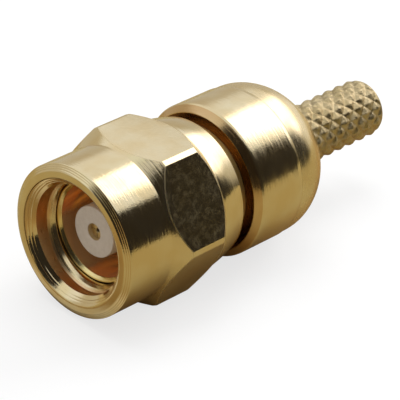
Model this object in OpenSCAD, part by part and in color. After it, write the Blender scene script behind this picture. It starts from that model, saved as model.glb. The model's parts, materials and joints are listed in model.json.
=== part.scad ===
// SMC crimp plug: a small screw-on coaxial connector for thin cable.
// All sizes are in millimetres. The connector lies on a flat of its hexagon, +Z is up and
// its axis runs along X: the mouth of the coupling nut faces -X, the crimp stem points to +X.
// The origin is on the supporting surface, under the middle of the connector's length.
// Stations along the axis are measured from the front face of the coupling nut.

/* [Coupling nut] */
// Length of the nut
nut_len = 6.35; // [6:0.05:7.5]
// Diameter of the plain barrel in front of the hexagon
nut_barrel_d = 6.2; // [5.8:0.05:6.3]
// Length of the plain barrel, from the front face
nut_barrel_len = 2.3; // [1.6:0.05:2.6]
// Radial width of the chamfer round the front face
nut_edge_w = 0.28; // [0.1:0.02:0.34]
// Length of that chamfer along the axis
nut_edge_len = 0.17; // [0.05:0.01:0.4]
// Width of the hexagon across its flats
hex_af = 6.35; // [6.2:0.05:7.5]
// Radial cut that blunts the hexagon's corners
hex_corner_cut = 0.066; // [0.02:0.002:0.15]
// Length of the full corners, between the two chamfers
hex_corner_len = 1.7; // [1:0.05:1.9]
// Angle of both hexagon chamfers to the axis
hex_chamfer_angle = 40; // [32:1:50]
// Radial step from the hexagon's flats down to the collar
collar_step = 0.025; // [0.01:0.005:0.08]
// Loss of radius along the tapered collar behind the hexagon
collar_taper = 0.19; // [0.05:0.01:0.25]
// Width of the broken edge at the rear of the collar
collar_edge = 0.05; // [0.02:0.01:0.1]
// Diameter of the countersunk mouth at the front face
mouth_d = 5.1; // [4.95:0.05:5.4]
// Major diameter of the 10-32 coupling thread, drawn as a plain bore
thread_d = 4.826; // [4.7:0.002:4.9]
// Depth at which the coupling thread ends, from the front face
thread_end = 1.12; // [0.9:0.02:1.18]

/* [Front body] */
// Diameter of the body behind the nut
body_d = 6.35; // [5.8:0.05:6.35]
// Length of the body, from its shoulder to the seam of the rear body
body_len = 2.64; // [2:0.05:3.5]
// Gap between the nut and the shoulder of the body
nut_gap = 0.47; // [0.35:0.01:0.8]
// Radial width of the chamfer on the shoulder
shoulder_edge_w = 0.15; // [0.05:0.01:0.3]
// Length of that chamfer along the axis
shoulder_edge_len = 0.34; // [0.1:0.02:0.6]
// Diameter of the neck that the nut turns on
neck_d = 4.95; // [4.7:0.05:5]
// Bore of the outer contact
contact_bore_d = 3.72; // [3.6:0.02:3.76]
// Wall of the outer contact tube
contact_wall = 0.17; // [0.1:0.01:0.19]
// Depth of the outer contact's front edge behind the front face of the nut
contact_recess = 1.22; // [1.18:0.02:1.6]
// Depth of the ring-shaped cavity inside the outer contact
cavity_len = 2.5; // [1.8:0.05:2.6]
// Length of the tube in front of the neck
tube_len = 1.7; // [1.2:0.05:2]
// Thickness of the web that the insulator seats against
web_len = 0.55; // [0.3:0.05:0.7]

/* [Retaining ring] */
// Width of the split ring along the axis
ring_w = 0.4; // [0.25:0.05:0.5]
// Radial thickness of the split ring
ring_t = 0.48; // [0.4:0.02:0.55]
// Depth by which the ring reaches into the neck's groove
ring_seat = 0.2; // [0.12:0.02:0.25]
// Width of the split
ring_split = 1.2; // [0.6:0.1:2]
// Distance from the rear of the nut to the middle of the ring
ring_inset = 1.25; // [1.05:0.05:1.5]
// Play of the nut along the axis, each way
nut_float = 0.2; // [0.05:0.01:0.25]

/* [Rear body] */
// Radius of the dome's rounding
dome_r = 2.45; // [2:0.05:2.6]
// Length of the spigot pressed into the front body
spigot_len = 1.85; // [1:0.05:1.9]
// Diameter of the spigot
spigot_d = 4.8; // [4:0.05:5]
// Depth of the shallow groove at the seam
seam_depth = 0.05; // [0.02:0.01:0.12]
// Half-width of the seam groove along the axis
seam_half_w = 0.1; // [0.05:0.01:0.2]

/* [Crimp stem] */
// Diameter over the knurl
stem_d = 2.46; // [2.2:0.02:2.8]
// Length of the knurled stem behind the dome
stem_len = 4.7; // [3:0.1:7]
// Number of knurled diamonds around the stem
knurl_count = 11; // [8:1:16]
// Pitch of the diamonds along the stem
knurl_pitch = 0.65; // [0.5:0.01:0.9]
// Depth of the knurl
knurl_depth = 0.1; // [0.06:0.01:0.18]
// Share of each diamond that is left blunt at its top
knurl_blunt = 0.3; // [0.1:0.05:0.5]
// Bore for the cable's inner insulation
cable_bore_d = 1.6; // [1.5:0.02:1.7]

/* [Insulator] */
// Diameter of the insulator's front post
post_d = 2.08; // [1.9:0.02:2.2]
// Diameter of the insulator's rear flange
flange_d = 3.06; // [2.6:0.02:3.2]
// Diameter of the pin hole in the front face
lip_d = 0.69; // [0.6:0.01:0.74]
// Loss of diameter along the pin hole, which leads the pin in
lip_taper = 0.04; // [0.02:0.01:0.1]
// Thickness of the lip around the pin hole
lip_len = 0.2; // [0.1:0.02:0.4]

/* [Centre contact] */
// Diameter of the spring socket
socket_d = 0.9; // [0.84:0.02:1]
// Bore of the socket, for a 0.5 mm pin
pin_bore_d = 0.52; // [0.5:0.01:0.56]
// Depth of the socket's bore
pin_depth = 2.2; // [1.6:0.05:2.8]
// Width of the slots in the socket
slot_w = 0.08; // [0.04:0.01:0.1]
// Length of the slots in the socket
slot_len = 1.7; // [1:0.05:2.4]
// Length of the socket, from its front edge to the collar
socket_len = 3.6; // [3:0.05:4]
// Diameter of the collar that stops the contact in the insulator
stop_d = 1.26; // [1.16:0.02:1.4]
// Length of the collar
stop_len = 0.6; // [0.3:0.05:0.9]
// Diameter of the solder cup
cup_d = 1.06; // [0.9:0.02:1.12]
// Length of the solder cup
cup_len = 1.6; // [1:0.05:1.8]
// Bore of the solder cup
cup_bore_d = 0.56; // [0.45:0.01:0.7]
// Diameter of the solder hole in the side of the cup
solder_hole_d = 0.4; // [0.2:0.02:0.5]

/* [Fits] */
// Radial clearance between the nut and the neck
nut_clear = 0.1; // [0.05:0.01:0.15]
// Clearance round the ring in the nut's groove
ring_clear = 0.04; // [0.02:0.01:0.06]
// Radial clearance of the pieces seated in the body
seat_clear = 0.01; // [0.005:0.005:0.02]

/* [Hidden] */
$fn = 96;
over = 1;
gold = [0.83, 0.71, 0.45];
ring_gold = [0.76, 0.62, 0.36];
ptfe = [0.93, 0.92, 0.90];

// Height of the axis, with the connector lying on whichever is wider of hexagon and body
axis_z = max(hex_af, body_d) / 2;

// Stations and radii of the coupling nut
hex_sharp_r = hex_af / 2 / cos(30);
hex_corner_r = hex_sharp_r - hex_corner_cut;
hex_slope = tan(hex_chamfer_angle);
collar_r = hex_af / 2 - collar_step;
collar_rear_r = collar_r - collar_taper;
hex_front_x = nut_barrel_len + (hex_corner_r - nut_barrel_d / 2) / hex_slope;
hex_rear_x = hex_front_x + hex_corner_len;
collar_x = hex_rear_x + (hex_corner_r - collar_r) / hex_slope;
sink_len = (mouth_d - thread_d) / 2;
nut_bore_r = neck_d / 2 + nut_clear;
relief_len = abs(nut_bore_r - thread_d / 2);

// Stations and radii of the retaining ring
ring_x = nut_len - ring_inset;
ring_in_r = neck_d / 2 - ring_seat;
ring_out_r = ring_in_r + ring_t;
nut_groove_r = ring_out_r + ring_clear;
nut_groove_w = ring_w + 2 * ring_clear;
neck_groove_w = ring_w + 2 * nut_float + 2 * ring_clear;
neck_groove_r = nut_bore_r - ring_t - ring_clear;

// Stations and radii of the front body
tube_r = contact_bore_d / 2 + contact_wall;
neck_x = contact_recess + tube_len;
cavity_x = contact_recess + cavity_len;
seat_x = cavity_x + web_len;
shoulder_x = nut_len + nut_gap;
seam_x = shoulder_x + body_len;
spigot_x = seam_x - spigot_len;

// Stations of the rear body and the knurl, whose first rows are buried in the dome
dome_x = seam_x + seam_half_w;
dome_mid_r = body_d / 2 - dome_r;
root_r = stem_d / 2 - knurl_depth;
stem_x = dome_x + sqrt(dome_r * dome_r - pow(stem_d / 2 - dome_mid_r, 2));
total_len = stem_x + stem_len;
knurl_rows = 2 * ceil((stem_len + knurl_depth) / knurl_pitch);
knurl_cols = 2 * knurl_count;
row_step = knurl_pitch / 2;
knurl_start = total_len - knurl_rows * row_step;
col_step = 360 / knurl_cols;

// Stations of the centre contact
socket_x = contact_recess + lip_len;
stop_x = socket_x + socket_len;
cup_x = stop_x + stop_len;
contact_end = cup_x + cup_len;
stop_hole_r = stop_d / 2 + seat_clear;

// Lays a shape drawn about Z along the connector's own axis
module on_axis() {
    translate([-total_len / 2, 0, axis_z]) rotate([0, 90, 0]) children();
}

// Solid of revolution from points given as [radius, station]
module turned(points) {
    rotate_extrude() polygon(points);
}

// Straight hole about the axis
module bore(d, from, to) {
    translate([0, 0, from]) cylinder(d = d, h = to - from);
}

// Tapered hole about the axis, open at its front
module bore_taper(front_d, rear_d, from, to) {
    translate([0, 0, from]) cylinder(d1 = front_d, d2 = rear_d, h = to - from);
}

// Flat-sided ring about the axis
module band(in_r, out_r, from, to) {
    difference() {
        bore(2 * out_r, from, to);
        bore(2 * in_r, from - over, to + over);
    }
}

// Turned outline of the nut, before its flats are milled
module nut_blank() {
    turned([
        [0, 0],
        [nut_barrel_d / 2 - nut_edge_w, 0],
        [nut_barrel_d / 2, nut_edge_len],
        [nut_barrel_d / 2, nut_barrel_len],
        [hex_corner_r, hex_front_x],
        [hex_corner_r, hex_rear_x],
        [collar_r, collar_x],
        [collar_rear_r, nut_len - collar_edge],
        [collar_rear_r - collar_edge, nut_len],
        [0, nut_len]
    ]);
}

// Inside of the nut: countersink, thread, running bore and the groove for the ring
module nut_hollow() {
    turned([
        [0, -over],
        [mouth_d / 2 + over, -over],
        [thread_d / 2, sink_len],
        [thread_d / 2, thread_end],
        [nut_bore_r, thread_end + relief_len],
        [nut_bore_r, nut_len + over],
        [0, nut_len + over]
    ]);
    bore(2 * nut_groove_r, ring_x - nut_groove_w / 2, ring_x + nut_groove_w / 2);
}

// Hexagonal coupling nut
module coupling_nut() {
    color(gold) on_axis() difference() {
        intersection() {
            nut_blank();
            rotate(30) translate([0, 0, -over]) cylinder(r = hex_sharp_r, h = nut_len + 2 * over, $fn = 6);
        }
        nut_hollow();
    }
}

// Split spring ring that keeps the nut on the neck
module retaining_ring() {
    color(ring_gold) on_axis() difference() {
        band(ring_in_r, ring_out_r, ring_x - ring_w / 2, ring_x + ring_w / 2);
        translate([0, -ring_split / 2, ring_x - ring_w]) cube([ring_out_r + over, ring_split, 2 * ring_w]);
    }
}

// Front body: outer contact, neck with the ring's groove, and the shoulder
module front_body() {
    color(gold) on_axis() difference() {
        turned([
            [0, contact_recess],
            [tube_r, contact_recess],
            [tube_r, neck_x],
            [neck_d / 2, neck_x + neck_d / 2 - tube_r],
            [neck_d / 2, shoulder_x],
            [body_d / 2 - shoulder_edge_w, shoulder_x],
            [body_d / 2, shoulder_x + shoulder_edge_len],
            [body_d / 2, seam_x - 2 * seam_half_w],
            [body_d / 2 - seam_depth, seam_x],
            [0, seam_x]
        ]);
        bore(contact_bore_d, contact_recess - over, cavity_x);
        bore(post_d + 2 * seat_clear, cavity_x - over, seat_x + over);
        bore(flange_d + 2 * seat_clear, seat_x, seam_x + over);
        bore(spigot_d + 2 * seat_clear, spigot_x, seam_x + over);
        band(neck_groove_r, neck_d / 2 + over, ring_x - neck_groove_w / 2, ring_x + neck_groove_w / 2);
    }
}

// Half section of the dome, with its rounding as a true arc
module dome_section() {
    polygon([[0, seam_x], [body_d / 2 - seam_depth, seam_x], [body_d / 2, dome_x], [0, dome_x]]);
    intersection() {
        translate([dome_mid_r, dome_x]) circle(r = dome_r);
        translate([0, dome_x]) square([body_d / 2, dome_r]);
    }
}

// Point of the knurl at a radius, a column (in column steps) and a row (in row steps)
function knurl_point(r, col, row) = [
    r * cos(col * col_step),
    r * sin(col * col_step),
    knurl_start + row * row_step
];

// Diamonds stand on every second place of the grid; the places between are the groove crossings
function is_crossing(col, row) = (col + row) % 2 == 1;
function wrap(col) = (col + knurl_cols) % knurl_cols;
function grid_index(col, row) = row * knurl_cols + wrap(col);
function top_index(col, row, corner) = (knurl_rows + 1) * knurl_cols + 4 * grid_index(col, row) + corner;

// Diamond-knurled bar: groove crossings at the root, and a blunt top on every diamond
module knurled_bar() {
    reach = [[-1, 0], [0, -1], [1, 0], [0, 1]];
    crossings = [
        for (row = [0 : knurl_rows], col = [0 : knurl_cols - 1]) knurl_point(root_r, col, row)
    ];
    tops = [
        for (row = [0 : knurl_rows], col = [0 : knurl_cols - 1], way = reach)
            knurl_point(stem_d / 2, col + knurl_blunt * way[0], row + knurl_blunt * way[1])
    ];
    flanks = [
        for (row = [1 : knurl_rows - 1], col = [0 : knurl_cols - 1], k = [0 : 3])
            if (!is_crossing(col, row))
                let (
                    from = reach[k],
                    to = reach[(k + 1) % 4],
                    a = grid_index(col + from[0], row + from[1]),
                    b = grid_index(col + to[0], row + to[1]),
                    c = top_index(col, row, (k + 1) % 4),
                    d = top_index(col, row, k)
                )
                each [[a, c, b], [a, d, c]]
    ];
    blunts = [
        for (row = [1 : knurl_rows - 1], col = [0 : knurl_cols - 1])
            if (!is_crossing(col, row))
                let (t = [for (k = [0 : 3]) top_index(col, row, k)])
                each [[t[0], t[3], t[1]], [t[1], t[3], t[2]]]
    ];
    front_rim = [
        for (col = [0 : 2 : knurl_cols - 1]) [grid_index(col - 1, 0), grid_index(col, 1), grid_index(col + 1, 0)]
    ];
    rear_rim = [
        for (col = [0 : 2 : knurl_cols - 1])
            [grid_index(col + 1, knurl_rows), grid_index(col, knurl_rows - 1), grid_index(col - 1, knurl_rows)]
    ];
    front_cap = [for (col = [1 : 2 : knurl_cols - 1]) grid_index(col, 0)];
    rear_cap = [for (col = [knurl_cols - 1 : -2 : 1]) grid_index(col, knurl_rows)];
    polyhedron(
        points = concat(crossings, tops),
        faces = concat(flanks, blunts, front_rim, rear_rim, [front_cap, rear_cap])
    );
}

// Rear body: press-in spigot, dome and knurled crimp stem
module rear_body() {
    color(gold) on_axis() difference() {
        union() {
            bore(spigot_d, spigot_x, dome_x);
            rotate_extrude() dome_section();
            knurled_bar();
        }
        bore(cable_bore_d, spigot_x - over, total_len + over);
    }
}

// Insulator: front post with the pin hole, and the flange clamped inside the body
module insulator() {
    color(ptfe) on_axis() difference() {
        union() {
            bore(post_d, contact_recess, seat_x + over / 2);
            bore(flange_d, seat_x, spigot_x);
        }
        bore_taper(lip_d, lip_d - lip_taper, contact_recess, socket_x);
        bore(socket_d + 2 * seat_clear, socket_x, stop_x + over);
        bore(2 * stop_hole_r, stop_x, spigot_x + over);
    }
}

// Centre contact: slotted spring socket, stop collar and solder cup
module centre_contact() {
    color(gold) on_axis() difference() {
        union() {
            bore(socket_d, socket_x, stop_x);
            bore(stop_d, stop_x, cup_x);
            bore(cup_d, cup_x, contact_end);
        }
        bore(pin_bore_d, socket_x - over, socket_x + pin_depth);
        bore(cup_bore_d, cup_x, contact_end + over);
        for (turn = [0, 90])
            rotate(turn) translate([-socket_d, -slot_w / 2, socket_x - over])
                cube([2 * socket_d, slot_w, over + slot_len]);
        translate([0, 0, cup_x + cup_len / 2]) rotate([0, -90, 0]) cylinder(d = solder_hole_d, h = cup_d);
    }
}

coupling_nut();
retaining_ring();
front_body();
rear_body();
insulator();
centre_contact();
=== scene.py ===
"""Looks of the SMC crimp plug: finer meshes, metal and plastic finishes, studio and camera."""

import json
import math

import bpy
import numpy as np
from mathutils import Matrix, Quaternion, Vector


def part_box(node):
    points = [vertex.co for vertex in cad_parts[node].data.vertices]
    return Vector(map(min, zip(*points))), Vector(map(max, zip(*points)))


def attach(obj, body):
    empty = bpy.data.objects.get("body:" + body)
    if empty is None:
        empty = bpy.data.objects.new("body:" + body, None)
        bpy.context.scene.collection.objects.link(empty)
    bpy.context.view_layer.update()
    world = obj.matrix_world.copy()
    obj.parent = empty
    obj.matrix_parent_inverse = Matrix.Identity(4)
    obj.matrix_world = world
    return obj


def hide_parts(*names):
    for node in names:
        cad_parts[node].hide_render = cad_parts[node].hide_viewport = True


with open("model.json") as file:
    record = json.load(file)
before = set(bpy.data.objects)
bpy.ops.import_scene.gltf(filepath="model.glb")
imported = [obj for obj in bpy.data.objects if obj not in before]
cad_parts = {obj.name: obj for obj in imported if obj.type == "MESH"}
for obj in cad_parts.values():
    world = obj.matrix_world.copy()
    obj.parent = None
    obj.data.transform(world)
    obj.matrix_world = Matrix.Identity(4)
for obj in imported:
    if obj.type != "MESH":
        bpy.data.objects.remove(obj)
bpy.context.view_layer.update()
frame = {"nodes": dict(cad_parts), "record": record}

# All sizes below are in millimetres and degrees; meshes are written in metres.
MM = 0.001
TURN = 360.0


def node_box(node):
    """Lowest and highest corner of a CAD node."""
    low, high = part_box(node)
    return np.array(low) / MM, np.array(high) / MM


def mount_radius(name):
    """Radius of one of the record's mounts."""
    mounts = frame["record"]["mounts"]
    return next(mount["dims"]["r_mm"] for mount in mounts if mount["name"] == name)


nut_low, nut_high = node_box("coupling_nut")
body_low, body_high = node_box("front_body")
rear_low, rear_high = node_box("rear_body")
_, post_high = node_box("insulator")
pin_low, pin_high = node_box("centre_contact")

# Stations are measured along the axis from the nut's front face.
front_x = nut_low[0]
axis_z = (nut_low[2] + nut_high[2]) / 2

# Coupling nut
nut_len = nut_high[0] - front_x
flat_r = (nut_high[2] - nut_low[2]) / 2
corner_r = (nut_high[1] - nut_low[1]) / 2
corner_round = 0.012
hex_count = 6
hex_turn = TURN / hex_count
hex_chamfer = 40.0
hex_slope = math.tan(math.radians(hex_chamfer))
barrel_r = 3.1
barrel_len = 2.3
front_edge_w = 0.28
front_edge_len = 0.17
edge_lines = (0.30, 0.55, 0.80)
edge_line_half = 0.05
edge_line_depth = 0.005
corner_len = 1.7
collar_r = flat_r - 0.025
collar_rear_r = collar_r - 0.24
collar_crown_len = 0.15
collar_bend_len = 0.60
collar_bend_drop = 0.092
collar_bend = 0.2
collar_edge = 0.02
mouth_r = 2.55
mouth_edge = 0.09
mouth_steps = 8
mouth_line_depth = 0.035
mouth_line_least = 0.5
mouth_line_fade = -105.0
mouth_line_fade_half = 55.0
sink_x = 1.05 * mouth_edge
sink_depth = 0.34
sink_lines = (0.125, 0.206)
sink_line_half = 0.014
sink_line_depth = 0.012
thread_r = mount_radius("coupling_thread")
thread_root_r = 2.25
thread_crest_r = 2.06
thread_edge_r = 2.14
thread_line_depth = 0.02
thread_pitch = 25.4 / 32
thread_start = 0.93
thread_end = 2.6
thread_seen = 1.3
thread_hidden_rows = 36
thread_seen_rows = 128
thread_from = -221.0
thread_profile = [
    (0.00, thread_root_r),
    (0.11, thread_edge_r),
    (0.125, thread_edge_r + thread_line_depth),
    (0.14, thread_edge_r),
    (0.28, thread_crest_r),
    (0.60, thread_crest_r),
    (0.66, thread_root_r),
    (thread_pitch, thread_root_r),
]
nut_bore_r = 2.575
nut_groove_r = 2.795
nut_groove_half = 0.24
ring_x = nut_len - 1.25

# Front body
body_r = body_high[2] - axis_z
contact_x = body_low[0] - front_x
seam_x = body_high[0] - front_x
shoulder_x = nut_len + 0.60
shoulder_edge_w = 0.28
shoulder_edge_len = 0.28
seam_depth = 0.05
seam_half = 0.1
seam_line_half = 0.008
seam_edge_len = 0.18
seam_edge_depth = 0.038
seam_fade = 0.8
neck_r = 2.475
neck_x = contact_x + 1.7
neck_groove_r = 2.055
neck_groove_half = 0.44
tube_r = 2.03
contact_bore_r = 1.86
lip_bevel = 0.11
cavity_x = contact_x + 2.5
seat_x = cavity_x + 0.55
fit = 0.01

# Rear body
spigot_x = rear_low[0] - front_x
total_len = rear_high[0] - front_x
spigot_r = 2.4
dome_r = 2.45
dome_x = seam_x + seam_half
dome_mid_r = body_r - dome_r
dome_rows = 60
stem_r = 1.23
stem_x = dome_x + math.sqrt(dome_r**2 - (stem_r - dome_mid_r) ** 2)
knurl_depth = 0.1
knurl_root_r = stem_r - knurl_depth
knurl_count = 11
knurl_columns = 24 * knurl_count
knurl_pitch = 0.65
knurl_row = knurl_pitch / 2
knurl_rows = 2 * math.ceil((total_len - stem_x + knurl_depth) / knurl_pitch)
knurl_x = total_len - knurl_rows * knurl_row
knurl_blunt = 0.3
knurl_round = 0.10
knurl_top_round = 0.3
knurl_uneven = 0.30
knurl_step = 0.024
knurl_first_step = 0.02
cable_r = mount_radius("cable_entry")

# Insulator
post_r = 1.04
flange_r = post_high[2] - axis_z
post_end = post_high[0] - front_x
lip_front_r = 0.345
lip_rear_r = 0.325

# Centre contact
socket_x = pin_low[0] - front_x
contact_end = pin_high[0] - front_x
socket_r = 0.45
pin_r = mount_radius("centre_socket")
pin_depth = 2.2
slot_half = 0.04
slot_len = 1.7
tip_r = 0.07
tip_slot_half = 0.012
tip_bend = 0.05
tip_len = 0.8
finger_count = 4
finger_columns = 16
stop_x = socket_x + 3.6
stop_r = 0.63
cup_x = stop_x + 0.6
cup_r = 0.53
cup_bore_r = 0.28

# Rounding of the turned edges
FINE = 0.015
EDGE = 0.03
SOFT = 0.06
EDGE_STEPS = 4
EDGE_SHARE = 0.45

# Columns of the meshes, with closer ones along the hexagon's edges, and the angle from which an edge is sharp
COLUMN_TURN = 1.5
CORNER_COLUMNS = np.array([-0.6, -0.3, 0.0, 0.3, 0.6])
COLUMN_DIGITS = 4
SHARP_TURN = 26

# Factors that scatter the heights of the diamonds
SCATTER_RISING = 12.9
SCATTER_FALLING = 78.2
SCATTER = 43758.5


def ease(value, start, end):
    """Smooth step from 0 at start to 1 at end."""
    t = np.clip((value - start) / (end - start), 0, 1)
    return t * t * (3 - 2 * t)


def soft_min(a, b, width):
    """Smaller of two values, blended over a width where they cross."""
    blend = np.clip(0.5 + 0.5 * (b - a) / width, 0, 1)
    return b + (a - b) * blend - width * blend * (1 - blend)


def soft_max(a, b, width):
    """Larger of two values, blended over a width where they cross."""
    return -soft_min(-a, -b, width)


def rounded(outline, columns):
    """Points of a closed outline with rounded corners, for every column, and their finishes.

    Corners are (station, radius, rounding, finish), with a fifth entry where the rounding has its own finish.
    """
    count = len(outline)
    ones = np.ones(columns)
    corners = [np.stack([ones * c[0], ones * c[1]], axis=1) for c in outline]
    points = []
    finishes = []
    for i, (_, _, size, finish, *edge) in enumerate(outline):
        here = corners[i]
        if size == 0:
            points.append(here)
            finishes.append(finish)
            continue
        back = corners[i - 1] - here
        ahead = corners[(i + 1) % count] - here
        back_len = np.linalg.norm(back, axis=1, keepdims=True)
        ahead_len = np.linalg.norm(ahead, axis=1, keepdims=True)
        reach = np.minimum(size, EDGE_SHARE * np.minimum(back_len, ahead_len))
        start = here + back / back_len * reach
        end = here + ahead / ahead_len * reach
        for step in range(EDGE_STEPS + 1):
            t = step / EDGE_STEPS
            points.append(start * (1 - t) ** 2 + here * 2 * t * (1 - t) + end * t**2)
            finishes.append(edge[0] if edge and step < EDGE_STEPS else finish)
    return np.stack(points, axis=1), finishes


def make_mesh(name, verts, faces, finishes, materials):
    """Mesh object in the row frame from points in millimetres."""
    mesh = bpy.data.meshes.new(name)
    mesh.from_pydata((verts * MM).tolist(), [], faces)
    for material in materials:
        mesh.materials.append(material)
    mesh.polygons.foreach_set("material_index", finishes)
    mesh.polygons.foreach_set("use_smooth", [True] * len(faces))
    mesh.set_sharp_from_angle(angle=math.radians(SHARP_TURN))
    mesh.update()
    piece = bpy.data.objects.new(name, mesh)
    bpy.context.scene.collection.objects.link(piece)
    normals = piece.modifiers.new("even_normals", "WEIGHTED_NORMAL")
    normals.keep_sharp = True
    return piece


def on_axis(stations, radii, angles):
    """Points at a station, a radius and an angle from +Y towards +Z round the connector's axis."""
    turn = np.radians(angles)
    return np.stack([front_x + stations, radii * np.cos(turn), axis_z + radii * np.sin(turn)], axis=-1)


def revolve(name, angles, outline, materials, face_finish=None):
    """Closed ring-shaped mesh whose outline may change from column to column."""
    columns = len(angles)
    points, finishes = rounded(outline, columns)
    count = points.shape[1]
    verts = on_axis(points[..., 0], points[..., 1], angles[:, None]).reshape(-1, 3)
    faces = []
    slots = []
    for c in range(columns):
        here = c * count
        following = (c + 1) % columns * count
        for i in range(count):
            j = (i + 1) % count
            faces.append((here + i, following + i, following + j, here + j))
            slots.append(finishes[i] if face_finish is None else face_finish(c, points[c, i], finishes[i]))
    return make_mesh(name, verts, faces, slots, materials)


def thread_radius(angles, station):
    """Inside of the nut at one station: countersink with its tool lines, then the right-hand thread."""
    if station < sink_depth:
        line = max(1 - abs(station - middle) / sink_line_half for middle in sink_lines)
        return np.full(len(angles), mouth_r - station + sink_line_depth * max(line, 0))
    turns = ((angles - thread_from) % TURN + thread_from) / TURN
    along = station - thread_start - turns * thread_pitch
    return np.where(along < 0, thread_root_r, np.interp(along % thread_pitch, *zip(*thread_profile)))


def knurl_radius(angles, station):
    """Radius of the diamond knurl: rounded pyramids, blunt on top and uneven in height."""
    col = (angles + TURN / 4) / TURN * 2 * knurl_count
    row = (station - knurl_x) / knurl_row
    rising = (col + row) / 2
    falling = (col - row) / 2
    across = soft_max(np.abs(rising - np.round(rising)), np.abs(falling - np.round(falling)), knurl_round)
    seed = np.round(rising) % knurl_count * SCATTER_RISING + np.round(falling) % knurl_count * SCATTER_FALLING
    uneven = np.sin(seed) * SCATTER % 1
    height = (1 - 2 * across) / (1 - knurl_blunt) * (1 - knurl_uneven * uneven)
    end = (knurl_rows - row) / (1 - knurl_blunt)
    return knurl_root_r + knurl_depth * np.clip(soft_min(height, min(end, 1.0), knurl_top_round), 0, 1)


def dome_radius(station):
    """Radius of the dome at a station, a little lower beside the seam than a true round."""
    drop = seam_edge_depth * (1 - ease(station, seam_x, seam_x + seam_fade))
    return dome_mid_r + math.sqrt(max(dome_r**2 - (station - dome_x) ** 2, 0)) - drop


# Nodes of materials


def feed(tree, socket, value):
    """A socket linked to another, or set to a plain value."""
    if isinstance(value, bpy.types.NodeSocket):
        tree.links.new(value, socket)
    else:
        socket.default_value = value


def combine(tree, operation, *values):
    """One maths node."""
    node = tree.nodes.new("ShaderNodeMath")
    node.operation = operation
    for socket, value in zip(node.inputs, values):
        feed(tree, socket, value)
    return node.outputs["Value"]


def stretch(tree, value, start, end, low=0.0, high=1.0):
    """Low where a value is at start, high where it is at end, and level beyond them."""
    node = tree.nodes.new("ShaderNodeMapRange")
    feed(tree, node.inputs["Value"], value)
    node.inputs["From Min"].default_value = start
    node.inputs["From Max"].default_value = end
    node.inputs["To Min"].default_value = low
    node.inputs["To Max"].default_value = high
    return node.outputs["Result"]


def opaque(colour):
    """Colour with full alpha."""
    return (*colour, 1)


# Finishes. Every tint is a pair, the usual colour and the one that it drifts to.

GOLD = ((0.80, 0.66, 0.38), (0.76, 0.59, 0.30))
# Browner copper for the thread's grooves: painted shade in the grooves.
GROOVE_SHADE_COPPER = ((0.82, 0.59, 0.31), (0.76, 0.52, 0.25))
# Dark brown for the mouth's tool line: painted shade in its little groove.
LINE_SHADE_BROWN = ((0.58, 0.43, 0.20), (0.50, 0.36, 0.16))
# Near-black brown for the neck, the contact's outer tube and the shoulder's front face: painted shade inside
# the nut and in the gap before the shoulder.
NECK_SHADE_BROWN = ((0.19, 0.09, 0.03), (0.15, 0.07, 0.025))
# Brighter, more orange gold for the body's bore: painted bounce light between the cavity's gold walls.
BORE_BOUNCE_GOLD = ((0.98, 0.72, 0.38), (0.95, 0.66, 0.32))
LIP_GOLD = ((0.86, 0.69, 0.31), (0.82, 0.63, 0.26))
# Darker orange gold for the neck between its groove and the shoulder: painted shade in the gap, lighter than
# the neck's brown.
ROOT_SHADE_GOLD = ((0.78, 0.52, 0.18), (0.70, 0.45, 0.14))
# Darker orange gold for the shoulder's chamfer: painted shade beside the gap behind the nut.
SHOULDER_SHADE_GOLD = ((0.69, 0.47, 0.22), (0.62, 0.40, 0.17))
# Darker gold for the knurled stem: painted shade between its diamonds.
STEM_SHADE_GOLD = ((0.53, 0.42, 0.22), (0.46, 0.35, 0.16))
SPRING_GOLD = ((0.76, 0.59, 0.30), (0.82, 0.59, 0.31))
# Cream for the white PTFE_GOLD_LIT: painted warm light from the gold round it.
PTFE_GOLD_LIT = ((0.90, 0.76, 0.60), (0.85, 0.71, 0.55))
# Gold brown for the wall of the PTFE_GOLD_LIT's hole: a painted reflection of the gold round it.
PTFE_HOLE_REFLECTION = ((0.66, 0.47, 0.22), (0.58, 0.40, 0.17))

# Noises, by their size per millimetre or by how far they reach round the axis
NOISE_RANGE = (0.3, 0.7)
TINT_RANGE = (0.35, 0.65)
TINTS_PER_MM = 0.9
MARKS_PER_MM = 11.0
MARKS_AROUND = 5.0
LINES_PER_MM = 9.0
LINES_AROUND = 0.2
LINE_SHARE = 0.5
GRAINS_PER_MM = 16.0
GRAIN_SHARE = 0.5
PATCHES_PER_MM = 4.5
PATCH_RANGE = (0.48, 0.75)
WAX_PER_MM = 6.0
WAX_SMOOTH = 0.42
WAX_ROUGH = 0.55
WAX_DEPTH = 0.002


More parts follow.
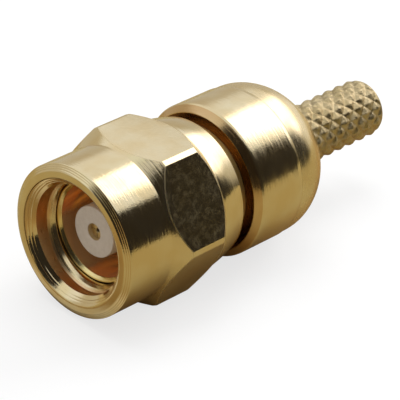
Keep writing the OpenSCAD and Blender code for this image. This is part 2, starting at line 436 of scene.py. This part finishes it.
class Finish:
    """Node material with coordinates in millimetres about the connector's axis."""

    def __init__(self, name):
        self.material = bpy.data.materials.new(name)
        self.material.use_nodes = True
        self.tree = self.material.node_tree
        self.shader = self.tree.nodes["Principled BSDF"]
        place = self.add("ShaderNodeTexCoord").outputs["Object"]
        scaled = self.vector("SCALE", place)
        scaled.node.inputs["Scale"].default_value = 1 / MM
        self.place = self.vector("SUBTRACT", scaled, (front_x, 0, axis_z))

    def add(self, kind):
        return self.tree.nodes.new(kind)

    def feed(self, socket, value):
        feed(self.tree, socket, value)

    def vector(self, operation, *values):
        """One vector node."""
        node = self.add("ShaderNodeVectorMath")
        node.operation = operation
        for socket, value in zip(node.inputs, values):
            self.feed(socket, value)
        return node.outputs["Value"] if operation == "LENGTH" else node.outputs["Vector"]

    def combine(self, operation, *values):
        return combine(self.tree, operation, *values)

    def noise(self, coordinates, scale=1.0, detail=2.0, roughness=0.5):
        node = self.add("ShaderNodeTexNoise")
        self.feed(node.inputs["Vector"], coordinates)
        node.inputs["Scale"].default_value = scale
        node.inputs["Detail"].default_value = detail
        node.inputs["Roughness"].default_value = roughness
        return node.outputs["Fac"]

    def spread(self, value, low, high, usual=NOISE_RANGE):
        """A noise value stretched so that its usual range runs from low to high."""
        return stretch(self.tree, value, *usual, low, high)

    def tint(self, value, tints):
        """Base colour that drifts between two tints."""
        ramp = self.add("ShaderNodeValToRGB")
        for element, position, colour in zip(ramp.color_ramp.elements, TINT_RANGE, tints):
            element.position = position
            element.color = opaque(colour)
        self.feed(ramp.inputs["Fac"], value)
        self.feed(self.shader.inputs["Base Color"], ramp.outputs["Color"])

    def bump(self, height, depth):
        """Relief of a given depth in millimetres."""
        node = self.add("ShaderNodeBump")
        node.inputs["Distance"].default_value = depth * MM
        self.feed(node.inputs["Height"], height)
        self.feed(self.shader.inputs["Normal"], node.outputs["Normal"])

    def round_axis(self, along, around):
        """Coordinates stretched round the axis, so that noise on them lies in turned rings."""
        split = self.add("ShaderNodeSeparateXYZ")
        self.feed(split.inputs["Vector"], self.place)
        flat = self.vector("MULTIPLY", self.place, (0, 1, 1))
        radius = self.vector("LENGTH", flat)
        station = self.combine("ADD", split.outputs["X"], radius)
        ring = self.vector("SCALE", self.vector("NORMALIZE", flat))
        ring.node.inputs["Scale"].default_value = around
        lift = self.add("ShaderNodeCombineXYZ")
        self.feed(lift.inputs["X"], self.combine("MULTIPLY", station, along))
        return self.vector("ADD", ring, lift.outputs["Vector"])


def turned_metal(name, tints, smooth, rough, depth, metallic=1.0):
    """Gold plate over a turned surface: short tool marks round the axis, long lines and a fine grain."""
    finish = Finish(name)
    marks = finish.noise(finish.round_axis(MARKS_PER_MM, MARKS_AROUND), detail=3.0, roughness=0.6)
    lines = finish.spread(finish.noise(finish.round_axis(LINES_PER_MM, LINES_AROUND)), 0.0, LINE_SHARE)
    grains = finish.combine("MULTIPLY", finish.noise(finish.place, GRAINS_PER_MM), GRAIN_SHARE)
    height = finish.combine("ADD", finish.combine("ADD", marks, lines), grains)
    finish.tint(finish.noise(finish.place, TINTS_PER_MM), tints)
    finish.shader.inputs["Metallic"].default_value = metallic
    finish.feed(finish.shader.inputs["Roughness"], finish.spread(marks, smooth, rough))
    finish.bump(height, depth)
    return finish.material


def milled_metal(name, tints, smooth, rough, depth, grain, dull=0.0):
    """Gold plate over a milled or pressed surface: an even grain and, where dull, less metallic patches."""
    finish = Finish(name)
    grains = finish.noise(finish.place, grain, detail=3.0, roughness=0.6)
    finish.tint(finish.noise(finish.place, TINTS_PER_MM), tints)
    finish.shader.inputs["Metallic"].default_value = 1.0
    if dull:
        patches = finish.noise(finish.place, PATCHES_PER_MM, detail=4.0, roughness=0.7)
        finish.feed(finish.shader.inputs["Metallic"], finish.spread(patches, 1.0, 1.0 - dull, PATCH_RANGE))
    finish.feed(finish.shader.inputs["Roughness"], finish.spread(grains, smooth, rough))
    finish.bump(grains, depth)
    return finish.material


def white_plastic(name, tints):
    """PTFE_GOLD_LIT: white, waxy and slightly uneven, in the tints given; here these add painted gold light
    to its white.
    """
    finish = Finish(name)
    grains = finish.noise(finish.place, WAX_PER_MM)
    finish.tint(grains, tints)
    finish.feed(finish.shader.inputs["Roughness"], finish.spread(grains, WAX_SMOOTH, WAX_ROUGH))
    finish.bump(grains, WAX_DEPTH)
    return finish.material


nut_turned = turned_metal("nut_turned", GOLD, smooth=0.08, rough=0.18, depth=0.0042)
nut_milled = milled_metal("nut_milled", GOLD, smooth=0.10, rough=0.22, depth=0.004, grain=6.0, dull=0.10)
nut_collar = turned_metal("nut_collar", GOLD, smooth=0.10, rough=0.18, depth=0.0015)
nut_sink = turned_metal("nut_sink", GOLD, smooth=0.05, rough=0.11, depth=0.0030)
nut_edge = milled_metal("nut_edge", GOLD, smooth=0.30, rough=0.45, depth=0.004, grain=20.0)
nut_thread = turned_metal("nut_thread", GOLD, smooth=0.12, rough=0.24, depth=0.0012)
# The grooves' browner tint is painted shade.
nut_groove_shaded = turned_metal("nut_groove_shaded", GROOVE_SHADE_COPPER, smooth=0.25, rough=0.40, depth=0.0012)
# The line's dark brown is painted shade.
nut_line_shaded = turned_metal("nut_line_shaded", LINE_SHADE_BROWN, smooth=0.40, rough=0.60, depth=0.0012)
body_turned = turned_metal("body_turned", GOLD, smooth=0.12, rough=0.24, depth=0.0042)
# The neck's near-black brown is painted shade in the gap.
body_neck_shaded = turned_metal("body_neck_shaded", NECK_SHADE_BROWN, smooth=0.24, rough=0.32, depth=0.0006)
# This strip's darker orange gold is painted shade.
body_root_shaded = turned_metal("body_root_shaded", ROOT_SHADE_GOLD, smooth=0.35, rough=0.45, depth=0.0010, metallic=0.85)
# The chamfer's darker gold is painted shade.
body_shoulder_shaded = turned_metal("body_shoulder_shaded", SHOULDER_SHADE_GOLD, smooth=0.12, rough=0.24, depth=0.0030)
body_lip = turned_metal("body_lip", LIP_GOLD, smooth=0.12, rough=0.26, depth=0.0040)
# The bore's brighter gold is painted bounce light.
body_bore_bounce_lit = turned_metal("body_bore_bounce_lit", BORE_BOUNCE_GOLD, smooth=0.08, rough=0.16, depth=0.0020, metallic=0.80)
dome_turned = turned_metal("dome_turned", GOLD, smooth=0.20, rough=0.30, depth=0.0020)
# The stem's darker gold is painted shade.
stem_shaded_metal = milled_metal(
    "stem_knurled_shaded", STEM_SHADE_GOLD, smooth=0.26, rough=0.44, depth=0.034, grain=9.0, dull=0.9
)
spring_metal = milled_metal("ring_spring", SPRING_GOLD, smooth=0.2, rough=0.3, depth=0.001, grain=10.0)
contact_metal = turned_metal("contact_turned", GOLD, smooth=0.35, rough=0.45, depth=0.0005)
# The PTFE_GOLD_LIT's cream is painted warm light on white.
ptfe_gold_lit = white_plastic("ptfe_white_gold_lit", PTFE_GOLD_LIT)
# The hole wall's gold brown is a painted reflection.
ptfe_hole_gold_reflection = white_plastic("ptfe_hole_gold_reflection", PTFE_HOLE_REFLECTION)

# Coupling nut: flats at top and bottom, blunt corners between

flat_half = math.degrees(math.acos(flat_r / corner_r))
nut_angles = set(np.arange(0, TURN, COLUMN_TURN).tolist())
for flat in range(hex_count):
    for side in (-1, 1):
        edge_angle = hex_turn / 2 + hex_turn * flat + side * flat_half
        nut_angles.update(((edge_angle + CORNER_COLUMNS) % TURN).round(COLUMN_DIGITS).tolist())
nut_angles = np.array(sorted(nut_angles))
from_flat = np.abs(nut_angles % hex_turn - hex_turn / 2)
hex_r = soft_min(flat_r / np.cos(np.radians(from_flat)), np.full(len(nut_angles), corner_r), corner_round)
corner_x = barrel_len + (corner_r - barrel_r) / hex_slope
collar_x = corner_x + corner_len + (corner_r - collar_r) / hex_slope
TURNED, MILLED, THREAD, WORN, GROOVE, LINE, COLLAR, SINK = range(8)

# The chamfer in front has fine tool lines.
front_edge = []
for middle in edge_lines:
    for share, depth in ((-edge_line_half, 0), (0, edge_line_depth), (edge_line_half, 0)):
        step = middle + share
        step_r = barrel_r - front_edge_w * (1 - step) - depth
        front_edge.append((step * front_edge_len + depth, step_r, 0, TURNED))

# The mouth's edge is rounded, with a tool line along it whose dark brown is painted shade in its groove; the
# line fades out towards one side.
from_line_fade = np.abs((nut_angles - mouth_line_fade + TURN / 2) % TURN - TURN / 2)
line_kept = np.clip(from_line_fade / mouth_line_fade_half - 1, 0, 1)
mouth_rounding = []
for t in np.linspace(0, 1, mouth_steps + 1):
    inside = mouth_edge * (1 - t) ** 2
    mouth_rounding.append((inside, mouth_r - inside + mouth_edge * t**2, 0, TURNED))
line_step = mouth_steps // 2
line_x, line_r = mouth_rounding[line_step][:2]
mouth_rounding[line_step - 1] = (*mouth_rounding[line_step - 1][:3], LINE)
mouth_rounding[line_step] = (line_x + mouth_line_depth * line_kept, line_r, 0, LINE)

nut_outline = [
    *mouth_rounding,
    (0.0, barrel_r - front_edge_w, EDGE, TURNED),
    *front_edge,
    (front_edge_len, barrel_r, EDGE, TURNED),
    (barrel_len, barrel_r, FINE, TURNED),
    (barrel_len + (hex_r - barrel_r) / hex_slope, hex_r, EDGE, MILLED, WORN),
    (collar_x - (hex_r - collar_r) / hex_slope, hex_r, EDGE, COLLAR, WORN),
    (collar_x, collar_r, FINE, COLLAR),
    (collar_x + collar_crown_len, collar_r - FINE, SOFT, COLLAR),
    (collar_x + collar_bend_len, collar_r - collar_bend_drop, collar_bend, COLLAR),
    (nut_len - collar_edge, collar_rear_r, 0, COLLAR),
    (nut_len, collar_rear_r - collar_edge, 0, COLLAR),
    (nut_len, nut_bore_r, FINE, THREAD),
    (ring_x + nut_groove_half, nut_bore_r, 0, THREAD),
    (ring_x + nut_groove_half, nut_groove_r, 0, THREAD),
    (ring_x - nut_groove_half, nut_groove_r, 0, THREAD),
    (ring_x - nut_groove_half, nut_bore_r, 0, THREAD),
    (thread_end + nut_bore_r - thread_r, nut_bore_r, 0, THREAD),
]
hidden_stations = np.linspace(thread_end, thread_seen, thread_hidden_rows)
seen_stations = np.linspace(thread_seen, sink_x, thread_seen_rows)
for station in (*hidden_stations, *seen_stations[1:]):
    nut_outline.append((station, thread_radius(nut_angles, station), 0, THREAD))


def nut_finish(column, point, finish):
    """Finish of a face: corner strips and the faded part of the mouth's line are turned like the barrel,
    the countersink has its own finish, and the thread's grooves are duller than its crests and painted a
    browner shade.
    """
    station, radius = point
    if finish == MILLED and from_flat[column] > flat_half:
        return TURNED
    if finish == LINE and line_kept[column] < mouth_line_least:
        return TURNED
    if finish == THREAD and station < sink_depth:
        return SINK
    in_groove = radius > thread_edge_r + EDGE and station > sink_depth
    return GROOVE if finish == THREAD and in_groove else finish


nut_finishes = [nut_turned, nut_milled, nut_thread, nut_edge, nut_groove_shaded, nut_line_shaded, nut_collar, nut_sink]
nut = revolve("nut", nut_angles, nut_outline, nut_finishes, nut_finish)
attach(nut, "nut")
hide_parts("coupling_nut")

# Front body: outer contact, neck, shoulder and the seam's edge

plain_angles = np.arange(0, TURN, COLUMN_TURN)
OUTSIDE, BORE, NECK, SHOULDER, LIP, ROOT = range(6)
body_outline = [
    (contact_x + lip_bevel, contact_bore_r, FINE, LIP),
    (contact_x, contact_bore_r + lip_bevel, FINE, LIP),
    (contact_x, tube_r, FINE, NECK),
    (neck_x, tube_r, FINE, NECK),
    (neck_x + neck_r - tube_r, neck_r, FINE, NECK),
    (ring_x - neck_groove_half, neck_r, 0, NECK),
    (ring_x - neck_groove_half, neck_groove_r, 0, NECK),
    (ring_x + neck_groove_half, neck_groove_r, 0, NECK),
    (ring_x + neck_groove_half, neck_r, 0, ROOT),
    (shoulder_x, neck_r, EDGE, NECK),
    (shoulder_x, body_r - shoulder_edge_w, EDGE, SHOULDER),
    (shoulder_x + shoulder_edge_len, body_r, SOFT, OUTSIDE),
    (seam_x - seam_line_half - seam_edge_len - FINE, body_r, 0, OUTSIDE),
    (seam_x - seam_line_half - seam_edge_len, body_r, 0, OUTSIDE),
    (seam_x - seam_line_half, body_r - seam_edge_depth, 0, OUTSIDE),
    (seam_x, body_r - seam_depth, 0, OUTSIDE),
    (seam_x, spigot_r + fit, 0, BORE),
    (spigot_x, spigot_r + fit, 0, BORE),
    (spigot_x, flange_r + fit, 0, BORE),
    (seat_x, flange_r + fit, 0, BORE),
    (seat_x, post_r + fit, 0, BORE),
    (cavity_x, post_r + fit, FINE, BORE),
    (cavity_x, contact_bore_r, FINE, BORE),
]
body_finishes = [body_turned, body_bore_bounce_lit, body_neck_shaded, body_shoulder_shaded, body_lip, body_root_shaded]
front_shell = revolve("front_shell", plain_angles, body_outline, body_finishes)
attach(front_shell, "body")
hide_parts("front_body")

# Rear body: spigot, dome and knurled stem

DOME, STEM = range(2)
knurl_angles = np.arange(0, TURN, TURN / knurl_columns)
rear_outline = [
    (spigot_x, cable_r, FINE, STEM),
    (spigot_x, spigot_r, SOFT, DOME),
    (seam_x, spigot_r, 0, DOME),
    (seam_x, body_r - seam_depth, 0, DOME),
    (seam_x + seam_line_half, body_r - seam_edge_depth, 0, DOME),
]
dome_turn = math.degrees(math.acos((knurl_root_r - dome_mid_r) / dome_r))
for turn in np.linspace(0, dome_turn, dome_rows):
    station = dome_x + dome_r * math.sin(math.radians(turn))
    radius = np.full(len(knurl_angles), dome_radius(station))
    if station > knurl_x:
        radius = np.maximum(radius, knurl_radius(knurl_angles, station))
    rear_outline.append((station, radius, 0, DOME if station < stem_x else STEM))
dome_end = dome_x + dome_r * math.sin(math.radians(dome_turn))
for station in np.arange(dome_end + knurl_first_step, total_len, knurl_step):
    rear_outline.append((station, knurl_radius(knurl_angles, station), 0, STEM))
rear_outline.append((total_len, knurl_root_r, 0, STEM))
rear_outline.append((total_len, cable_r, FINE, STEM))
rear_shell = revolve("rear_shell", knurl_angles, rear_outline, [dome_turned, stem_shaded_metal])
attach(rear_shell, "body")
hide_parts("rear_body")

# Insulator

WHITE_FACE, HOLE = range(2)
post_outline = [
    (contact_x, lip_front_r, EDGE, WHITE_FACE),
    (contact_x, post_r, SOFT, WHITE_FACE),
    (seat_x, post_r, 0, WHITE_FACE),
    (seat_x, flange_r, 0, WHITE_FACE),
    (post_end, flange_r, 0, WHITE_FACE),
    (post_end, stop_r + fit, 0, WHITE_FACE),
    (stop_x, stop_r + fit, 0, WHITE_FACE),
    (stop_x, socket_r + fit, 0, WHITE_FACE),
    (socket_x, socket_r + fit, 0, WHITE_FACE),
    # The hole's wall takes the painted gold reflection.
    (socket_x, lip_rear_r, 0, HOLE),
]
post = revolve("post", plain_angles, post_outline, [ptfe_gold_lit, ptfe_hole_gold_reflection])
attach(post, "body")
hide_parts("insulator")

# Centre contact: four spring fingers in front of a plain shank

PLATED = 0
shank_outline = [
    (socket_x + slot_len, pin_r, 0, PLATED),
    (socket_x + slot_len, socket_r, 0, PLATED),
    (stop_x, socket_r, 0, PLATED),
    (stop_x, stop_r, 0, PLATED),
    (cup_x, stop_r, 0, PLATED),
    (cup_x, cup_r, 0, PLATED),
    (contact_end, cup_r, FINE, PLATED),
    (contact_end, cup_bore_r, FINE, PLATED),
    (cup_x, cup_bore_r, 0, PLATED),
    (cup_x, FINE, 0, PLATED),
    (socket_x + pin_depth, FINE, 0, PLATED),
    (socket_x + pin_depth, pin_r, 0, PLATED),
]
shank = revolve("contact_shank", plain_angles, shank_outline, [contact_metal])
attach(shank, "body")
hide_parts("centre_contact")


def finger(name, middle):
    """One spring finger: a sector of the socket between two slots, its tip bent in to grip the pin."""
    outline = [
        (socket_x, tip_r + EDGE, tip_slot_half),
        (socket_x, socket_r - tip_bend - EDGE, tip_slot_half),
        (socket_x + EDGE, socket_r - tip_bend, tip_slot_half),
        (socket_x + tip_len, socket_r, slot_half),
        (socket_x + slot_len, socket_r, slot_half),
        (socket_x + slot_len, pin_r, slot_half),
        (socket_x + tip_len, pin_r, slot_half),
        (socket_x + EDGE, tip_r, tip_slot_half),
    ]
    across = finger_columns
    rows = []
    for station, radius, gap_half in outline:
        half = TURN / finger_count / 2 - math.degrees(math.asin(gap_half / radius))
        angles = middle + np.linspace(-half, half, across)
        rows.append(on_axis(np.full(across, station), np.full(across, radius), angles))
    count = len(rows)
    faces = []
    for i in range(count):
        here = i * across
        following = (i + 1) % count * across
        for k in range(across - 1):
            faces.append((here + k, here + k + 1, following + k + 1, following + k))
    faces.append(tuple(i * across for i in range(count)))
    faces.append(tuple(i * across + across - 1 for i in reversed(range(count))))
    return make_mesh(name, np.concatenate(rows), faces, [PLATED] * len(faces), [contact_metal])


for number in range(finger_count):
    spring = finger(f"contact_finger_{number + 1}", (number + 0.5) * TURN / finger_count)
    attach(spring, "body")

# CAD nodes take the same finishes

node_finishes = {
    "coupling_nut": nut_turned,
    "retaining_ring": spring_metal,
    "front_body": body_turned,
    "rear_body": dome_turned,
    "insulator": ptfe_gold_lit,
    "centre_contact": contact_metal,
}
for node, material in node_finishes.items():
    for slot in frame["nodes"][node].material_slots:
        slot.material = material

# Studio: white floor, with a tent round the connector and a table under it that only reflections show

centre = Vector(((nut_low[0] + rear_high[0]) / 2, 0, axis_z)) * MM
floor_size = 2000
floor_drop = 0.02
table_size = 650
tent_size = 260
tent_step = 2
tent_top = 90
tent_foot = 45
tent_far_foot = 200
far_foot_span = (35, 105)
far_foot_feather = 10
WHITE = (1.0, 1.0, 1.0)
PAPER = (0.9, 0.9, 0.9)
FLOOR_GLOW = 0.72
SKY_LEVEL = 0.55

# Tones of the tent, and the azimuths and elevations where they begin and end
BACK_WALL = (0.57, 0.54, 0.49)
ROOF = (0.90, 0.94, 1.08)
ROOF_RISE = (20, 30)
ZENITH = (0.74, 0.76, 0.82)
ZENITH_RISE = (66, 84)
SIDE_WALL = (0.95, 0.95, 0.98)
SIDE_RISE = (68, 84)
SIDE_FALL = (110, 122)
LEFT_WALL = (0.88, 0.95, 1.05)
LEFT_SPAN = (-132, -100)
LEFT_FEATHER = 10
LEFT_RISE = (10, 17)
SOFTBOX = (2.8, 2.8, 3.2)
SOFTBOX_RISE = (54, 68)
SOFTBOX_FALL = (108, 118)
SOFTBOX_SPAN = (23, 62)
SOFTBOX_FEATHER = 14
OPENING = (0.027, 0.024, 0.021)
OPENING_LEFT = -108
OPENING_RIGHT = 69
OPENING_LEAN = 0.41
OPENING_CORNER = 34
CORNER_LEAN = 1.3
OPENING_FEATHER = 8
OPENING_FALL = (50, 62)

# Tones of the table: a painted shade under the connector, warmed by the gold's bounce light, and a painted
# pool of light in front of the mouth
TABLE = (0.38, 0.32, 0.18)
TABLE_WARM_SHADE = (0.35, 0.24, 0.105)
# Lighter tone of the painted pool of light before the mouth.
TABLE_NEAR_LIGHT = (0.78, 0.72, 0.57)
TABLE_SIDE = (2.4, 4.6)
NEAR_RISE = (-1.9, -0.6)
NEAR_FALL = (0.3, -0.1)
NEAR_SIDE = (4.4, 3.0)


def window(value, low, high, feather):
    """1 between low and high, fading over the feather."""
    rise = ease(value, low - feather / 2, low + feather / 2)
    return rise * (1 - ease(value, high - feather / 2, high + feather / 2))


def over(tone, colour, share):
    """A tone mixed towards a colour."""
    return tone + (np.array(colour) - tone) * share


def tent_tone(azimuth, elevation):
    """Brightness of the tent by direction: walls, roof, softbox on the right and open dark front."""
    tone = over(np.array(BACK_WALL), ROOF, ease(elevation, *ROOF_RISE))
    tone = over(tone, ZENITH, ease(elevation, *ZENITH_RISE))
    tone = over(tone, SIDE_WALL, ease(azimuth, *SIDE_RISE) * (1 - ease(azimuth, *SIDE_FALL)))
    left = window(azimuth - TURN, *LEFT_SPAN, LEFT_FEATHER)
    tone = over(tone, LEFT_WALL, left * ease(elevation, *LEFT_RISE))
    softbox = ease(azimuth, *SOFTBOX_RISE) * (1 - ease(azimuth, *SOFTBOX_FALL))
    tone = over(tone, SOFTBOX, softbox * window(elevation, *SOFTBOX_SPAN, SOFTBOX_FEATHER))
    from_left = (azimuth - OPENING_LEFT) % TURN
    lean = OPENING_LEAN * max(elevation, 0) + CORNER_LEAN * max(elevation - OPENING_CORNER, 0)
    width = OPENING_RIGHT - OPENING_LEFT - lean
    opening = window(from_left, 0, width, OPENING_FEATHER)
    return over(tone, OPENING, opening * (1 - ease(elevation, *OPENING_FALL)))


def towards(azimuth, elevation):
    """Direction at an azimuth from -Y towards +X and at an elevation."""
    a = math.radians(azimuth)
    e = math.radians(elevation)
    return Vector((math.sin(a) * math.cos(e), -math.cos(a) * math.cos(e), math.sin(e)))


def stage_material(name):
    """Empty node material and its tree."""
    material = bpy.data.materials.new(name)
    material.use_nodes = True
    material.node_tree.nodes.clear()
    return material, material.node_tree


def surface(tree, shader):
    """Output of a material that shows a shader."""
    output = tree.nodes.new("ShaderNodeOutputMaterial")
    tree.links.new(shader, output.inputs["Surface"])


def stage_mesh(name, verts, faces, material):
    """Mesh object of the stage from points in metres."""
    mesh = bpy.data.meshes.new(name)
    mesh.from_pydata(verts, [], faces)
    mesh.materials.append(material)
    piece = bpy.data.objects.new(name, mesh)
    bpy.context.scene.collection.objects.link(piece)
    return piece


def ramp(tree, value, start, end):
    """0 at a start and 1 at an end, both in millimetres."""
    return stretch(tree, value, start * MM, end * MM)


def mix_colours(tree, share, first, second):
    """Colour between two others."""
    node = tree.nodes.new("ShaderNodeMix")
    node.data_type = "RGBA"
    feed(tree, node.inputs["Factor"], share)
    feed(tree, node.inputs["A"], first)
    feed(tree, node.inputs["B"], second)
    return node.outputs["Result"]


def seen_rays(tree):
    """1 for rays from the camera and for those that metal or glass sends on."""
    path = tree.nodes.new("ShaderNodeLightPath")
    sent_on = combine(tree, "MAXIMUM", path.outputs["Is Glossy Ray"], path.outputs["Is Transmission Ray"])
    return combine(tree, "MAXIMUM", path.outputs["Is Camera Ray"], sent_on)


def floor_square(name, size, height, material):
    """Level square under the connector."""
    half = size / 2 * MM
    corners = [(x, y, height * MM) for x, y in ((-half, -half), (half, -half), (half, half), (-half, half))]
    return stage_mesh(name, corners, [(0, 1, 2, 3)], material)


floor_material, tree = stage_material("floor_white")
paper = tree.nodes.new("ShaderNodeBsdfDiffuse")
paper.inputs["Color"].default_value = opaque(PAPER)
glow = tree.nodes.new("ShaderNodeEmission")
tree.links.new(seen_rays(tree), glow.inputs["Strength"])
both = tree.nodes.new("ShaderNodeMixShader")
both.inputs["Fac"].default_value = FLOOR_GLOW
tree.links.new(paper.outputs["BSDF"], both.inputs[1])
tree.links.new(glow.outputs["Emission"], both.inputs[2])
surface(tree, both.outputs["Shader"])
floor_square("floor", floor_size, -floor_drop, floor_material)

table_material, tree = stage_material("table_card")
spot = tree.nodes.new("ShaderNodeTexCoord")
split = tree.nodes.new("ShaderNodeSeparateXYZ")
tree.links.new(spot.outputs["Object"], split.inputs["Vector"])
along = split.outputs["X"]
aside = combine(tree, "ABSOLUTE", split.outputs["Y"])
# Painted warm shade under the connector, fading out sideways.
wide = mix_colours(tree, ramp(tree, aside, *TABLE_SIDE), opaque(TABLE_WARM_SHADE), opaque(TABLE))
# Painted pool of light before the mouth, from these three ramps.
before = ramp(tree, along, *(front_x + station for station in NEAR_RISE))
outside = ramp(tree, along, *(front_x + station for station in NEAR_FALL))
close = ramp(tree, aside, *NEAR_SIDE)
near = combine(tree, "MULTIPLY", combine(tree, "MULTIPLY", before, outside), close)
cloth = tree.nodes.new("ShaderNodeBsdfDiffuse")
tree.links.new(mix_colours(tree, near, wide, opaque(TABLE_NEAR_LIGHT)), cloth.inputs["Color"])
surface(tree, cloth.outputs["BSDF"])
table = floor_square("table_card", table_size, -floor_drop / 2, table_material)

tent_material, tree = stage_material("tent")
tone = tree.nodes.new("ShaderNodeAttribute")
tone.attribute_name = "tone"
glow = tree.nodes.new("ShaderNodeEmission")
tree.links.new(tone.outputs["Color"], glow.inputs["Color"])
surface(tree, glow.outputs["Emission"])
FOOT = -1
azimuths = np.arange(0, TURN, tent_step)
elevations = np.concatenate([[FOOT], np.arange(0, tent_top + 1, tent_step)])
tent_verts = []
tent_tones = []
tent_faces = []
for elevation in elevations:
    for azimuth in azimuths:
        away = towards(azimuth, max(elevation, 0)) * tent_size
        if elevation == FOOT:
            far_share = window(azimuth, *far_foot_span, far_foot_feather)
            away = towards(azimuth, 0) * (tent_foot + (tent_far_foot - tent_foot) * far_share)
            away.z = -axis_z
        tent_verts.append(centre + away * MM)
        tent_tones.extend(opaque(tent_tone(azimuth, elevation)))
for row in range(len(elevations) - 1):
    low = row * len(azimuths)
    high = low + len(azimuths)
    for here in range(len(azimuths)):
        following = (here + 1) % len(azimuths)
        tent_faces.append((low + here, low + following, high + following, high + here))
tent = stage_mesh("tent", tent_verts, tent_faces, tent_material)
tones = tent.data.color_attributes.new("tone", "FLOAT_COLOR", "POINT")
tones.data.foreach_set("color", tent_tones)

for reflected in (tent, table):
    reflected.visible_camera = False
    reflected.visible_diffuse = False
    reflected.visible_shadow = False
    reflected.visible_transmission = False

world = bpy.data.worlds.new("studio")
bpy.context.scene.world = world
world.use_nodes = True
tree = world.node_tree
sky = tree.nodes["Background"]
sky.inputs["Color"].default_value = opaque(WHITE)
level = stretch(tree, seen_rays(tree), 0.0, 1.0, SKY_LEVEL, 1.0)
tree.links.new(level, sky.inputs["Strength"])


def lamp(name, azimuth, elevation, distance, size, power):
    """Soft square lamp aimed at the connector. Its reflection is the tent's."""
    data = bpy.data.lights.new(name, "AREA")
    data.size = size * MM
    data.energy = power
    light = bpy.data.objects.new(name, data)
    away = towards(azimuth, elevation)
    light.location = centre + away * distance * MM
    light.rotation_mode = "QUATERNION"
    light.rotation_quaternion = (-away).to_track_quat("-Z", "Y")
    light.visible_glossy = False
    bpy.context.scene.collection.objects.link(light)


lamp("lamp_top", azimuth=160, elevation=72, distance=200, size=150, power=0.22)
lamp("lamp_right", azimuth=85, elevation=36, distance=200, size=110, power=0.22)

# Camera

aim_station = 7.288
aim_y = 0.218
aim_z = 2.160
camera_distance = 98.388
camera_azimuth = -48.068
camera_elevation = 30.407
camera_roll = 4.052
camera_lens = 225
camera_near = 5
camera_far = 20000
GLOSSY_BOUNCES = 10

camera_data = bpy.data.cameras.new("camera")
camera_data.lens = camera_lens
camera_data.clip_start = camera_near * MM
camera_data.clip_end = camera_far * MM
camera = bpy.data.objects.new("camera", camera_data)
back = towards(camera_azimuth, camera_elevation)
roll = Quaternion((0, 0, 1), math.radians(camera_roll))
camera.location = Vector((front_x + aim_station, aim_y, aim_z)) * MM + back * (camera_distance * MM)
camera.rotation_mode = "QUATERNION"
camera.rotation_quaternion = (-back).to_track_quat("-Z", "Y") @ roll
bpy.context.scene.collection.objects.link(camera)
bpy.context.scene.camera = camera
bpy.context.scene.view_settings.view_transform = "Standard"
bpy.context.scene.cycles.glossy_bounces = GLOSSY_BOUNCES
